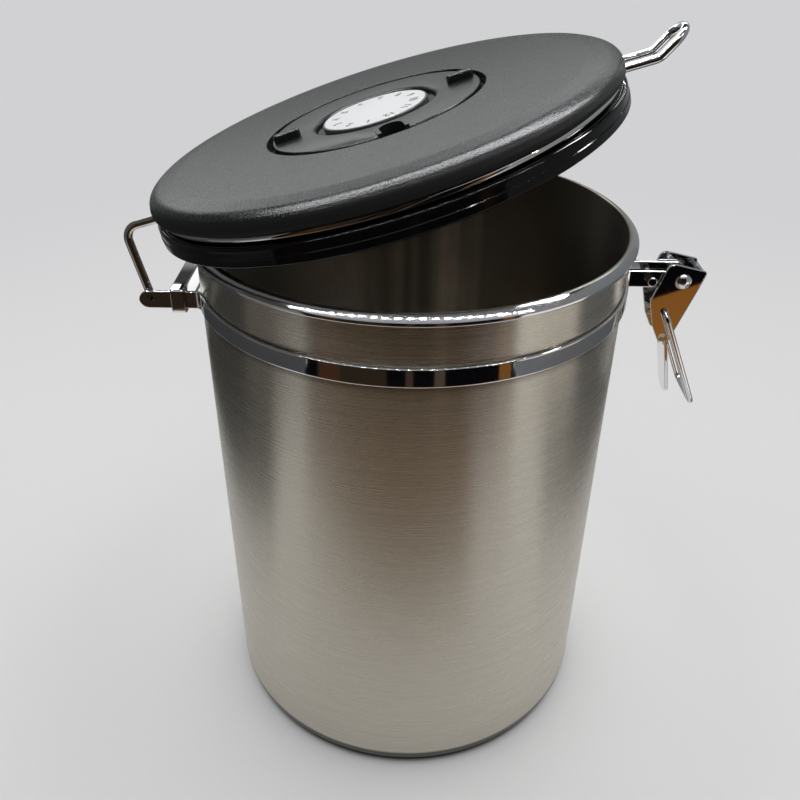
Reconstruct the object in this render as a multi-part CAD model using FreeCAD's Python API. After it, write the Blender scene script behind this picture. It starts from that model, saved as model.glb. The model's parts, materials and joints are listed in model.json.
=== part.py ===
import FreeCAD
import Part
import math
import os

# Coffee canister with a hinged, wire-held lid, a toggle latch, date dials and a one-way valve.
# Millimetres. Z is up, the origin is the centre of the base on the table, +X points from hinge to latch.
# The lid's pieces are drawn closed and then turned open about the hinge by lid_rest_opening.

Vector = FreeCAD.Vector

# Canister body
body_radius = 60.0
body_wall = 0.8
body_floor = 0.8
body_height = 163.0
base_round = 6.5
bead_reach = 2.0
bead_height = 2.6

# Fits
slip_fit = 0.05
running_fit = 0.06
sheet_gap = 0.3
edge_round = 0.3

# Strap round the neck, in two halves
strap_width = 5.0
strap_thickness = 1.0
strap_drop = 16.25
strap_bend = 2.0

# Hinge ears and the folded keeper that ties them
hinge_reach = 10.6
hinge_half_span = 21.5
keeper_width = 3.7
keeper_wall = 1.0
keeper_standoff = 0.6

# Latch ears, pins and lever
latch_half_span = 3.5
latch_reach = 17.0
cross_pin_radius = 1.35
cross_pin_reach = 8.2
cross_pin_overhang = 2.2
rivet_radius = 1.5
rivet_dome_radius = 2.3
rivet_dome_height = 1.2
lever_thickness = 1.0
lever_length = 20.0
lever_link_x = -3.6
lever_link_z = -9.75
tab_length = 18.3
tab_lean = 3.4
tab_half_width = 4.6
tab_end_round = 3.6
lever_hole_radius = 0.8

# Link wire
link_wire_radius = 0.9
link_stub = 2.4
link_bend = 2.0
link_hang_angle = -66.9

# Bail wire
bail_wire_radius = 1.15
bail_leg_inset = 2.2
bail_end_overhang = 0.9
bail_head_radius = 1.6
bail_head_length = 0.55
bail_ring_offset = 0.9
bail_bend = 3.0
bail_leg_bend = 4.0
bail_leg_lean = 1.45
hook_half_width = 4.2
hook_reach = 12.0
hook_rise_angle = 32.5
hook_rise_length = 4.6
hook_bend = 4.0

# Lid, closed heights above the rim
lid_rest_opening = 16.6
gasket_gap = 0.25
gasket_thickness = 1.0
gasket_width = 3.7
lid_plate = 1.5
skirt_gap = 0.45
skirt_wall = 0.95
lip_reach = 0.2
lip_height = 2.3
skirt_drop = 2.9
groove_floor = 2.1
neck_wall = 1.9
neck_height = 2.6
well_margin = 12.0
well_wall = 1.6
well_depth = 9.1

# Top cover
cover_overhang = 3.85
cover_wall = 1.8
cover_height = 5.2
cover_shoulder_width = 8.7
cover_shoulder_drop = 1.0
spigot_depth = 1.5
spigot_wall = 1.6
screw_offset = 4.5
screw_count = 4
screw_radius = 1.4
screw_head_radius = 2.6
screw_head_height = 1.4
screw_length = 5.4
boss_radius = 3.0

# Dials
recess_radius = 29.7
recess_depth = 3.2
recess_floor = 1.5
vent_count = 4
vent_radius = 1.5
vent_inset = 6.2
ring_gap = 1.55
ring_ledge = 0.85
ring_ledge_overlap = 1.1
ring_bore_round = 1.2
ring_turn = 12.5
window_width = 5.8
window_depth = 7.0
window_lip = 1.0
window_lip_height = 0.6
grip_length = 7.2
grip_width = 2.8
grip_height = 2.1
grip_edge_gap = 0.7
hub_flange = 0.6
hub_stub_radius = 7.0
hub_stub_length = 3.0
month_radius = 14.2
month_gap = 2.1
month_thickness = 1.3
stem_radius = 3.0
dial_play = 0.2
washer_radius = 5.5
washer_thickness = 0.8
dial_screw_radius = 0.95
dial_screw_length = 3.4
dial_screw_head_radius = 2.4
dial_screw_head_height = 1.3

# One-way valve in the floor of the lid's well
valve_bore = 10.05
valve_flange_radius = 14.0
valve_flange_wall = 2.5
valve_flange_depth = 3.7
valve_plate = 3.1
valve_rise = 0.4
valve_vent_count = 6
valve_vent_radius = 0.9
valve_vent_circle = 4.8
valve_stem_radius = 1.42
valve_disc_radius = 7.5
valve_disc_edge = 0.6
valve_disc_crown = 1.4
valve_lift = 0.8
valve_bulb_radius = 1.9
valve_bulb_height = 1.0
filter_thickness = 1.0
filter_bore = 3.0
cap_thickness = 1.0
cap_rim = 1.1
cap_rim_height = 2.5
cap_hole_count = 8
cap_hole_radius = 1.0
cap_hole_circle = 7.5

# Heights and places that follow from the sizes above
rim_top = body_height
strap_mid = rim_top - strap_drop
hinge_x = -(body_radius + hinge_reach)
latch_x = body_radius + latch_reach
hinge_axis_point = Vector(hinge_x, 0, strap_mid)
gasket_bottom = rim_top + gasket_gap
gasket_top = gasket_bottom + gasket_thickness
groove_z = rim_top + groove_floor
bail_z = groove_z + slip_fit + bail_wire_radius
neck_top = groove_z + neck_height
lid_top = neck_top + cover_height
plate_bottom = groove_z - lid_plate
well_floor_bottom = plate_bottom - well_depth
well_floor_top = well_floor_bottom + lid_plate
recess_floor_top = lid_top - recess_depth
recess_floor_bottom = recess_floor_top - recess_floor
bail_ring_radius = body_radius + bail_ring_offset
neck_radius = bail_ring_radius - bail_wire_radius - 2 * slip_fit
skirt_inner_radius = body_radius + bead_reach + skirt_gap
skirt_radius = skirt_inner_radius + skirt_wall
well_radius = body_radius - well_margin
screw_circle_radius = well_radius + screw_offset
cover_radius = neck_radius + cover_overhang
cover_flat_radius = cover_radius - cover_shoulder_width
ring_radius = recess_radius - ring_gap
ring_bore = month_radius + month_gap
hub_flange_radius = ring_bore - sheet_gap
ring_ledge_bore = hub_flange_radius - ring_ledge_overlap
hub_neck_radius = ring_ledge_bore - sheet_gap
vent_circle_radius = recess_radius - vent_inset


def fillet_corner(before, corner, after, radius):
    """Return the arc that rounds one corner of a path, as its start, middle and end."""
    to_before = (before - corner).normalize()
    to_after = (after - corner).normalize()
    half_angle = to_before.getAngle(to_after) / 2
    tangent_length = radius / math.tan(half_angle)
    bisector = (to_before + to_after).normalize()
    centre = corner + bisector * (radius / math.sin(half_angle))
    start = corner + to_before * tangent_length
    end = corner + to_after * tangent_length
    middle = centre - bisector * radius
    return start, middle, end


def rounded_edges(points, closed):
    """Turn (point, radius) pairs into straight edges joined by tangent arcs."""
    count = len(points)
    stations = []
    for index, (corner, radius) in enumerate(points):
        is_end = not closed and index in (0, count - 1)
        if radius == 0 or is_end:
            stations.append((corner, None, corner))
        else:
            before = points[index - 1][0]
            after = points[(index + 1) % count][0]
            stations.append(fillet_corner(before, corner, after, radius))
    edges = []
    for index, (start, middle, end) in enumerate(stations):
        if middle is not None:
            edges.append(Part.Arc(start, middle, end).toShape())
        if index + 1 < count or closed:
            following = stations[(index + 1) % count][0]
            if end.distanceToPoint(following) > 1e-7:
                edges.append(Part.LineSegment(end, following).toShape())
    return edges


def flat_face(corners):
    """Face in the XZ plane from (x, z) or (x, z, rounding) corners."""
    points = []
    for corner in corners:
        radius = corner[2] if len(corner) > 2 else 0
        points.append((Vector(corner[0], 0, corner[1]), radius))
    return Part.Face(Part.Wire(rounded_edges(points, True)))


def turned(corners):
    """Solid of revolution about Z."""
    return flat_face(corners).revolve(Vector(0, 0, 0), Vector(0, 0, 1), 360)


def plate(corners, low_y, high_y):
    """Flat plate in the XZ plane between two Y values."""
    solid = flat_face(corners).extrude(Vector(0, high_y - low_y, 0))
    solid.translate(Vector(0, low_y, 0))
    return solid


def wire_solid(edges, radius):
    """Round wire along a path of tangent edges."""
    path = Part.Wire(Part.__sortEdges__(edges))
    first = path.OrderedEdges[0]
    start = path.OrderedVertexes[0].Point
    direction = first.tangentAt(first.FirstParameter)
    section = Part.Wire(Part.Circle(start, direction, radius).toShape())
    return path.makePipeShell([section], True, False)


def drilled(solid, points, radius, low_z, high_z):
    """Cut vertical holes."""
    for point in points:
        base = Vector(point[0], point[1], low_z)
        solid = solid.cut(Part.makeCylinder(radius, high_z - low_z, base))
    return solid


def circle_points(count, radius, first_angle):
    """Points evenly spaced on a circle about Z."""
    angles = [math.radians(first_angle + 360.0 * index / count) for index in range(count)]
    return [(radius * math.cos(angle), radius * math.sin(angle)) for angle in angles]


def cross_cylinder(radius, x, z, low_y, high_y):
    """Cylinder along Y."""
    return Part.makeCylinder(radius, high_y - low_y, Vector(x, low_y, z), Vector(0, 1, 0))


def mirrored_in_y(shape):
    return shape.mirror(Vector(0, 0, 0), Vector(0, 1, 0))


def bend_from_ring(ring_radius, line_y, bend, side):
    """Tangent bend between a circle about Z and a line along X at line_y, on the -X or +X side."""
    centre_y = line_y - bend
    centre_x = side * math.sqrt((ring_radius + bend) ** 2 - centre_y ** 2)
    centre = Vector(centre_x, centre_y, 0)
    on_ring = centre * (ring_radius / (ring_radius + bend))
    on_line = Vector(centre_x, line_y, 0)
    outward = ((on_ring - centre) + (on_line - centre)).normalize()
    middle = centre + outward * bend
    return on_ring, middle, on_line


def ring_run(ring_radius, hinge_line_y, latch_line_y, bend):
    """Front half of a ring with bends out to the hinge line and the latch line."""
    hinge_ring, hinge_middle, hinge_line = bend_from_ring(ring_radius, hinge_line_y, bend, -1)
    latch_ring, latch_middle, latch_line = bend_from_ring(ring_radius, latch_line_y, bend, 1)
    edges = [
        Part.Arc(hinge_line, hinge_middle, hinge_ring).toShape(),
        Part.Arc(hinge_ring, Vector(0, -ring_radius, 0), latch_ring).toShape(),
        Part.Arc(latch_ring, latch_middle, latch_line).toShape(),
    ]
    return edges, hinge_line, latch_line


def canister_body():
    inner = body_radius - body_wall
    bead_outer = body_radius + bead_reach
    bead_low = rim_top - bead_height
    bead_round = 0.45 * bead_height
    return turned([
        (0, 0),
        (body_radius, 0, base_round),
        (body_radius, bead_low, edge_round),
        (bead_outer, bead_low, bead_round),
        (bead_outer, rim_top, bead_round),
        (inner, rim_top, bead_round),
        (inner, body_floor, base_round - body_wall),
        (0, body_floor),
    ])


def strap_front():
    middle_radius = body_radius + slip_fit + strap_thickness / 2
    edges, hinge_line, latch_line = ring_run(
        middle_radius, -hinge_half_span, -latch_half_span, strap_bend
    )
    hinge_end = Vector(hinge_x, -hinge_half_span, 0)
    latch_end = Vector(latch_x, -latch_half_span, 0)
    edges.append(Part.LineSegment(hinge_end, hinge_line).toShape())
    edges.append(Part.LineSegment(latch_line, latch_end).toShape())
    path = Part.Wire(Part.__sortEdges__(edges))
    half = strap_thickness / 2
    start = path.OrderedVertexes[0].Point
    section = Part.makePolygon([
        start + Vector(0, -half, 0),
        start + Vector(0, half, 0),
        start + Vector(0, half, strap_width),
        start + Vector(0, -half, strap_width),
        start + Vector(0, -half, 0),
    ])
    strap = path.makePipeShell([section], True, False)
    strap.translate(Vector(0, 0, strap_mid - strap_width / 2))
    for end in (hinge_end, latch_end):
        round_end = cross_cylinder(strap_width / 2, end.x, strap_mid, end.y - half, end.y + half)
        strap = strap.fuse(round_end)
    strap = strap.removeSplitter()
    bail_hole = bail_wire_radius + running_fit
    holes = (
        (hinge_x, -hinge_half_span, bail_hole),
        (latch_x, -latch_half_span, rivet_radius + slip_fit),
        (body_radius + cross_pin_reach, -latch_half_span, cross_pin_radius + slip_fit),
    )
    for x, y, radius in holes:
        strap = strap.cut(cross_cylinder(radius, x, strap_mid, y - strap_thickness, y + strap_thickness))
    return strap


def hinge_keeper():
    inner_y = hinge_half_span + strap_thickness / 2 + 2 * slip_fit
    inner_z = strap_width / 2 + 2 * slip_fit
    near_x = -(body_radius + keeper_standoff)

    def block(half_y, half_z, extra):
        corner = Vector(near_x - keeper_width - extra, -half_y, strap_mid - half_z)
        return Part.makeBox(keeper_width + 2 * extra, 2 * half_y, 2 * half_z, corner)

    outer = block(inner_y + keeper_wall, inner_z + keeper_wall, 0)
    along_x = [edge for edge in outer.Edges if abs(edge.tangentAt(0).x) > 0.5]
    outer = outer.makeFillet(0.6 * keeper_wall, along_x)
    return outer.cut(block(inner_y, inner_z, keeper_wall))


def latch_cross_pin():
    reach = latch_half_span + strap_thickness / 2 + cross_pin_overhang
    x = body_radius + cross_pin_reach
    pin = cross_cylinder(cross_pin_radius, x, strap_mid, -reach, reach)
    ends = [edge for edge in pin.Edges if edge.Curve.TypeId == "Part::GeomCircle"]
    return pin.makeChamfer(0.2 * cross_pin_radius, ends)


lever_inner_y = latch_half_span + strap_thickness / 2 + sheet_gap
lever_outer_y = lever_inner_y + lever_thickness
dome_base_y = lever_outer_y + slip_fit
link_leg_y = dome_base_y + rivet_dome_height + sheet_gap + link_wire_radius


def latch_pivot_rivet():
    rivet = cross_cylinder(rivet_radius, latch_x, strap_mid, -dome_base_y, dome_base_y)
    sphere_radius = (rivet_dome_radius ** 2 + rivet_dome_height ** 2) / (2 * rivet_dome_height)
    for side in (-1, 1):
        centre_y = side * (dome_base_y + rivet_dome_height - sphere_radius)
        ball = Part.makeSphere(sphere_radius, Vector(latch_x, centre_y, strap_mid))
        low_y = min(side * dome_base_y, side * (dome_base_y + rivet_dome_height))
        keep = cross_cylinder(rivet_dome_radius, latch_x, strap_mid, low_y, low_y + rivet_dome_height)
        rivet = rivet.fuse(ball.common(keep))
    return rivet.removeSplitter()


def sheet_strip(corners, thickness):
    """Outline of a bent sheet seen on edge, from its middle line of (x, z, bend) points."""
    count = len(corners)
    sides = []
    for side in (1, -1):
        line = []
        for index, (x, z, bend) in enumerate(corners):
            normals = []
            turn = 0.0
            for first, second in ((index - 1, index), (index, index + 1)):
                if first >= 0 and second < count:
                    step = Vector(corners[second][0] - corners[first][0], 0,
                                  corners[second][1] - corners[first][1]).normalize()
                    normals.append(Vector(-step.z, 0, step.x))
            miter = sum(normals, Vector()).normalize()
            if len(normals) == 2:
                turn = normals[0].x * normals[1].z - normals[0].z * normals[1].x
            offset = miter * (side * thickness / 2 / miter.dot(normals[0]))
            inside = 1 if turn * side > 0 else -1
            radius = bend - inside * thickness / 2 if bend else 0
            line.append((x + offset.x, z + offset.z, radius))
        sides.append(line)
    return sides[0] + sides[1][::-1]


def latch_lever():
    pivot = Vector(latch_x, 0, strap_mid)
    half_sheet = lever_thickness / 2

    def share(x, z, rounding=0.0):
        return lever_length * x, lever_length * z, lever_length * rounding

    side_outline = [
        share(-0.22, 0.27, 0.11),
        share(0.32, 0.145, 0.03),
        share(0.02, -0.77, 0.075),
        share(-0.08, -0.98, 0.05),
        share(-0.20, -0.96, 0.06),
        share(-0.31, -0.73, 0.15),
        share(-0.41, -0.32, 0.15),
    ]
    web_top_x, web_top_z, _ = share(0.32, 0.11)
    web_low_x, web_low_z, web_bend = share(0.02, -0.77, 0.25)
    tab_x, tab_z, tab_bend = share(-0.06, -1.0, 0.4)
    tab_end_z = tab_z - tab_length
    web_line = [
        (web_top_x - half_sheet, web_top_z, 0),
        (web_low_x - half_sheet, web_low_z, web_bend),
        (tab_x, tab_z, tab_bend),
        (tab_x + tab_lean, tab_end_z, 0),
    ]
    high_web = lever_outer_y
    web = plate(sheet_strip(web_line[:2] + [(tab_x, tab_z, 0)], lever_thickness), -high_web, high_web)
    tab = plate(sheet_strip(web_line, lever_thickness), -high_web, high_web)
    box_width = 2 * lever_length
    tab_window_low = tab_end_z - half_sheet
    tab_window_high = web_low_z + half_sheet
    tab_window = Part.makeBox(box_width, 2 * tab_half_width, tab_window_high - tab_window_low,
                              Vector(-lever_length, -tab_half_width, tab_window_low))
    low_edges = [edge for edge in tab_window.Edges
                 if abs(edge.tangentAt(0).x) > 0.5 and edge.CenterOfMass.z < tab_window_low + half_sheet]
    tab_window = tab_window.makeFillet(tab_end_round, low_edges)
    web_window_low = 0.9 * tab_z
    web_window = Part.makeBox(box_width, 2 * high_web, lever_length - web_window_low,
                              Vector(-lever_length, -high_web, web_window_low))
    lever = web.common(web_window).fuse(tab.common(tab_window))
    for low_y in (-lever_outer_y, lever_inner_y):
        lever = lever.fuse(plate(side_outline, low_y, low_y + lever_thickness))
    lever = lever.removeSplitter()
    hole_x, hole_z, _ = share(-0.15, -0.88)
    holes = (
        (0, 0, rivet_radius + running_fit),
        (lever_link_x, lever_link_z, link_wire_radius + running_fit),
        (hole_x, hole_z, lever_hole_radius),
    )
    for x, z, radius in holes:
        lever = lever.cut(cross_cylinder(radius, x, z, -2 * lever_outer_y, 2 * lever_outer_y))
    lever.translate(pivot)
    return lever


link_pivot = Vector(latch_x + lever_link_x, 0, strap_mid + lever_link_z)
hook_corner = Vector(body_radius + hook_reach, 0, bail_z)
latched_bar = Vector(hook_corner.x - link_wire_radius - sheet_gap, 0,
                     bail_z + bail_wire_radius + link_wire_radius + sheet_gap)
link_length = link_pivot.distanceToPoint(latched_bar)
link_latched_angle = math.degrees(math.atan2(latched_bar.z - link_pivot.z, latched_bar.x - link_pivot.x))


def latch_link():
    angle = math.radians(link_hang_angle)
    reach = Vector(math.cos(angle), 0, math.sin(angle)) * link_length
    stub_y = lever_inner_y + lever_thickness - link_stub
    across = Vector(0, 1, 0)
    route = [
        (link_pivot - across * stub_y, 0),
        (link_pivot - across * link_leg_y, link_bend),
        (link_pivot + reach - across * link_leg_y, link_bend),
        (link_pivot + reach + across * link_leg_y, link_bend),
        (link_pivot + across * link_leg_y, link_bend),
        (link_pivot + across * stub_y, 0),
    ]
    return wire_solid(rounded_edges(route, False), link_wire_radius)


def bail_wire():
    leg_y = hinge_half_span - bail_leg_inset
    end_y = hinge_half_span + strap_thickness / 2 + bail_end_overhang
    up = Vector(0, 0, bail_z)
    ring, hinge_line, hook_line = ring_run(bail_ring_radius, -leg_y, -hook_half_width, bail_bend)
    for edge in ring:
        edge.translate(up)
    leg = rounded_edges([
        (Vector(hinge_x, -end_y, strap_mid), 0),
        (Vector(hinge_x, -leg_y, strap_mid), 1.2 * bail_wire_radius),
        (Vector(hinge_x + bail_leg_lean, -leg_y, bail_z), bail_leg_bend),
        (hinge_line + up, 0),
    ], False)
    rise = math.radians(hook_rise_angle)
    rise_direction = Vector(math.cos(rise), 0, math.sin(rise))
    sideways = Vector(0, hook_half_width, 0)
    hook_end = hook_corner + rise_direction * hook_rise_length
    hook = rounded_edges([
        (hook_line + up, 0),
        (hook_corner - sideways, hook_bend),
        (hook_end - sideways, 0),
    ], False)
    front = leg + ring + hook
    rear = [mirrored_in_y(edge) for edge in front]
    tip = Part.Arc(hook_end - sideways, hook_end + rise_direction * hook_half_width, hook_end + sideways)
    wire = wire_solid(front + [tip.toShape()] + rear, bail_wire_radius)
    for low_y in (-end_y, end_y - bail_head_length):
        head = cross_cylinder(bail_head_radius, hinge_x, strap_mid, low_y, low_y + bail_head_length)
        wire = wire.fuse(head)
    return wire.removeSplitter()


def lid_gasket():
    outer = skirt_inner_radius - slip_fit
    inner = outer - gasket_width
    return turned([(inner, gasket_bottom, edge_round), (outer, gasket_bottom, edge_round),
                   (outer, gasket_top), (inner, gasket_top)])


def lid_base():
    skirt_inner = skirt_inner_radius
    groove_inner = skirt_inner - gasket_width - 2 * slip_fit
    skirt_low = rim_top - skirt_drop
    lip_top = skirt_low + lip_height
    lip_radius = skirt_radius + lip_reach
    neck_inner = neck_radius - neck_wall
    well_inner = well_radius - well_wall
    base = turned([
        (valve_bore, well_floor_bottom),
        (well_radius, well_floor_bottom, 1.5 * well_wall),
        (well_radius, plate_bottom, 0.6 * well_wall),
        (groove_inner, plate_bottom),
        (groove_inner, gasket_top + slip_fit),
        (skirt_inner, gasket_top + slip_fit),
        (skirt_inner, skirt_low, edge_round),
        (lip_radius - 0.6 * skirt_wall, skirt_low, edge_round),
        (lip_radius, skirt_low + 0.5 * skirt_wall, edge_round),
        (lip_radius, lip_top),
        (skirt_radius, lip_top + lip_reach),
        (skirt_radius, groove_z, 3 * edge_round),
        (neck_radius, groove_z),
        (neck_radius, neck_top),
        (neck_inner, neck_top),
        (neck_inner, groove_z),
        (well_inner, groove_z),
        (well_inner, well_floor_top, 0.9 * well_wall),
        (valve_bore, well_floor_top),
    ])
    points = circle_points(screw_count, screw_circle_radius, 45)
    return drilled(base, points, screw_radius + 4 * slip_fit, plate_bottom - 1, groove_z + 1)


def lid_cover():
    spigot_outer = neck_radius - neck_wall - 2 * slip_fit
    spigot_inner = spigot_outer - spigot_wall
    roof = lid_top - cover_wall
    shoulder_z = lid_top - cover_shoulder_drop
    edge_z = neck_top + 0.2 * cover_height
    cover = turned([
        (hub_stub_radius + slip_fit, recess_floor_bottom),
        (hub_stub_radius + slip_fit, recess_floor_top),
        (recess_radius, recess_floor_top),
        (recess_radius, lid_top, edge_round),
        (cover_flat_radius, lid_top, 1.7 * cover_shoulder_width),
        (cover_radius - 0.8 * cover_shoulder_drop, shoulder_z, 0.45 * cover_height),
        (cover_radius, edge_z, 0.2 * cover_height),
        (cover_radius - 0.6 * edge_round, neck_top, edge_round),
        (spigot_outer, neck_top),
        (spigot_outer, neck_top - spigot_depth),
        (spigot_inner, neck_top - spigot_depth),
        (spigot_inner, roof),
        (recess_radius + cover_wall, roof),
        (recess_radius + cover_wall, recess_floor_bottom),
    ])
    points = circle_points(screw_count, screw_circle_radius, 45)
    for x, y in points:
        cover = cover.fuse(Part.makeCylinder(boss_radius, roof + edge_round - groove_z, Vector(x, y, groove_z)))
    cover = cover.removeSplitter()
    hole_top = plate_bottom + screw_length + edge_round
    cover = drilled(cover, points, screw_radius + slip_fit, groove_z - 1, hole_top)
    vents = circle_points(vent_count, vent_circle_radius, 45)
    return drilled(cover, vents, vent_radius, recess_floor_bottom - 1, recess_floor_top + 1)


def cover_screws():
    screws = []
    for x, y in circle_points(screw_count, screw_circle_radius, 45):
        screw = turned([
            (0, plate_bottom - screw_head_height),
            (screw_head_radius, plate_bottom - screw_head_height, 0.4 * screw_head_height),
            (screw_head_radius, plate_bottom),
            (screw_radius, plate_bottom),
            (screw_radius, plate_bottom + screw_length, edge_round),
            (0, plate_bottom + screw_length),
        ])
        low = plate_bottom - screw_head_height
        long_slot = 0.8 * screw_head_radius
        for size_x, size_y in ((long_slot, 0.3 * screw_head_radius), (0.3 * screw_head_radius, long_slot)):
            corner = Vector(-size_x / 2, -size_y / 2, low)
            screw = screw.cut(Part.makeBox(size_x, size_y, 0.5 * screw_head_height, corner))
        screw.translate(Vector(x, y, 0))
        screws.append(screw)
    return Part.makeCompound(screws)


def date_ring():
    low = recess_floor_top + 2 * slip_fit
    ledge_top = low + ring_ledge
    ring = turned([
        (ring_ledge_bore, low),
        (ring_radius, low),
        (ring_radius, lid_top, 1.5 * edge_round),
        (ring_bore, lid_top, ring_bore_round),
        (ring_bore, ledge_top),
        (ring_ledge_bore, ledge_top),
    ])
    inner_end = ring_radius - window_depth + window_width / 2
    sunk = 2 * edge_round

    def window(extra, low_z, high_z):
        half = window_width / 2 + extra
        slot = Part.makeCylinder(half, high_z - low_z, Vector(inner_end, 0, low_z))
        corner = Vector(inner_end, -half, low_z)
        return slot.fuse(Part.makeBox(2 * window_depth, 2 * half, high_z - low_z, corner)).removeSplitter()

    round_limit = Part.makeCylinder(ring_radius - slip_fit, window_lip_height + sunk, Vector(0, 0, lid_top - sunk))
    lip = window(window_lip, lid_top - sunk, lid_top + window_lip_height).common(round_limit)
    raised = [lip.Solids[0]]
    grip_far = ring_radius - grip_edge_gap
    for angle in (90, -90):
        base = Vector(grip_far - grip_length, -grip_width / 2, lid_top - sunk)
        grip = Part.makeBox(grip_length, grip_width, grip_height + sunk, base)
        upright = [edge for edge in grip.Edges if abs(edge.tangentAt(0).z) > 0.5]
        grip = grip.makeFillet(0.45 * grip_width, upright)
        top_edges = [edge for edge in grip.Edges if edge.BoundBox.ZMin > lid_top + grip_height - 0.01]
        grip = grip.makeFillet(0.35 * grip_height, top_edges).Solids[0]
        grip.rotate(Vector(0, 0, 0), Vector(0, 0, 1), angle)
        raised.append(grip)
    ring = ring.multiFuse(raised).removeSplitter()
    ring = ring.cut(window(0, low - 1, lid_top + window_lip_height + 1))
    ring.rotate(Vector(0, 0, 0), Vector(0, 0, 1), -90 + ring_turn)
    return ring


flange_bottom = recess_floor_top + 2 * slip_fit + ring_ledge + dial_play
flange_top = flange_bottom + hub_flange
hub_bottom = recess_floor_top - hub_stub_length
stem_bottom = hub_bottom - dial_play
washer_bottom = stem_bottom - washer_thickness


def dial_hub():
    return turned([
        (stem_radius + running_fit, hub_bottom),
        (stem_radius + running_fit, flange_top),
        (hub_flange_radius, flange_top),
        (hub_flange_radius, flange_bottom),
        (hub_neck_radius, flange_bottom),
        (hub_neck_radius, recess_floor_top),
        (hub_stub_radius, recess_floor_top),
        (hub_stub_radius, hub_bottom),
    ])


def month_dial():
    low = lid_top - month_thickness
    hole_top = stem_bottom + dial_screw_length + edge_round
    return turned([
        (dial_screw_radius + slip_fit, stem_bottom),
        (stem_radius, stem_bottom),
        (stem_radius, low),
        (month_radius, low),
        (month_radius, lid_top, edge_round),
        (0, lid_top),
        (0, hole_top),
        (dial_screw_radius + slip_fit, hole_top),
    ])


def dial_washer():
    bore = dial_screw_radius + 4 * slip_fit
    return turned([(bore, washer_bottom), (washer_radius, washer_bottom), (washer_radius, stem_bottom),
                   (bore, stem_bottom)])


def dial_screw():
    head_bottom = washer_bottom - dial_screw_head_height
    screw_top = stem_bottom + dial_screw_length
    return turned([
        (0, head_bottom),
        (dial_screw_head_radius, head_bottom, 0.4 * dial_screw_head_height),
        (dial_screw_head_radius, washer_bottom),
        (dial_screw_radius, washer_bottom),
        (dial_screw_radius, screw_top),
        (0, screw_top),
    ])


seat_top = well_floor_top + valve_rise
seat_bottom = seat_top - valve_plate
cap_top = well_floor_bottom - valve_flange_depth


def valve_seat():
    bore = valve_stem_radius + running_fit
    seat = turned([
        (bore, seat_bottom),
        (bore, seat_top),
        (valve_bore - slip_fit, seat_top, edge_round),
        (valve_bore - slip_fit, well_floor_bottom),
        (valve_flange_radius, well_floor_bottom),
        (valve_flange_radius, cap_top),
        (valve_flange_radius - valve_flange_wall, cap_top),
        (valve_flange_radius - valve_flange_wall, seat_bottom),
    ])
    vents = circle_points(valve_vent_count, valve_vent_circle, 0)
    return drilled(seat, vents, valve_vent_radius, seat_bottom - 1, seat_top + 1)


def valve_disc():
    low = seat_top + 2 * slip_fit
    bulb_top = seat_bottom - valve_lift - 2 * slip_fit
    crown = low + valve_disc_crown
    return turned([
        (0, bulb_top - valve_bulb_height),
        (valve_bulb_radius, bulb_top - valve_bulb_height, 0.5 * valve_bulb_height),
        (valve_bulb_radius, bulb_top),
        (valve_stem_radius, bulb_top),
        (valve_stem_radius, low),
        (valve_disc_radius, low),
        (valve_disc_radius, low + valve_disc_edge, edge_round),
        (2 * valve_stem_radius, crown, valve_stem_radius),
        (0, crown),
    ])


def valve_filter():
    outer = valve_flange_radius - valve_flange_wall - 4 * slip_fit
    return turned([(filter_bore, cap_top), (outer, cap_top), (outer, cap_top + filter_thickness),
                   (filter_bore, cap_top + filter_thickness)])


def valve_cap():
    inner = valve_flange_radius + slip_fit
    outer = inner + cap_rim
    low = cap_top - cap_thickness
    cap = turned([
        (0, low),
        (outer, low, 0.7 * cap_thickness),
        (outer, cap_top + cap_rim_height - cap_thickness),
        (inner, cap_top + cap_rim_height - cap_thickness),
        (inner, cap_top),
        (0, cap_top),
    ])
    holes = circle_points(cap_hole_count, cap_hole_circle, 0)
    return drilled(cap, holes, cap_hole_radius, low - 1, cap_top + 1)


def opened(shape):
    """Turn a piece of the closed lid to its resting angle."""
    shape.rotate(hinge_axis_point, Vector(0, -1, 0), lid_rest_opening)
    return shape


def save(name, shape):
    solids = shape.Solids
    result = Part.makeCompound(solids) if len(solids) > 1 else solids[0]
    result.exportStep(os.path.join("parts", name + ".step"))
    box = result.BoundBox
    print(name, "solids", len(solids), "valid", result.isValid(), "volume %.1f" % result.Volume,
          "box %.1f %.1f %.1f to %.1f %.1f %.1f"
          % (box.XMin, box.YMin, box.ZMin, box.XMax, box.YMax, box.ZMax))


os.makedirs("parts", exist_ok=True)

front_half = strap_front()
fixed_pieces = {
    "canister_body": canister_body(),
    "strap_front": front_half,
    "strap_rear": mirrored_in_y(front_half),
    "hinge_keeper": hinge_keeper(),
    "latch_cross_pin": latch_cross_pin(),
    "latch_pivot_rivet": latch_pivot_rivet(),
    "latch_lever": latch_lever(),
    "latch_link": latch_link(),
}
lid_pieces = {
    "bail_wire": bail_wire(),
    "lid_cover": lid_cover(),
    "lid_base": lid_base(),
    "cover_screws": cover_screws(),
    "lid_gasket": lid_gasket(),
    "date_ring": date_ring(),
    "dial_hub": dial_hub(),
    "month_dial": month_dial(),
    "dial_washer": dial_washer(),
    "dial_screw": dial_screw(),
    "valve_seat": valve_seat(),
    "valve_disc": valve_disc(),
    "valve_filter": valve_filter(),
    "valve_cap": valve_cap(),
}
for piece_name, piece in fixed_pieces.items():
    save(piece_name, piece)
for piece_name, piece in lid_pieces.items():
    save(piece_name, opened(piece))
print("link length %.3f, latched turn %.3f degrees" % (link_length, link_latched_angle - link_hang_angle))
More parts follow.
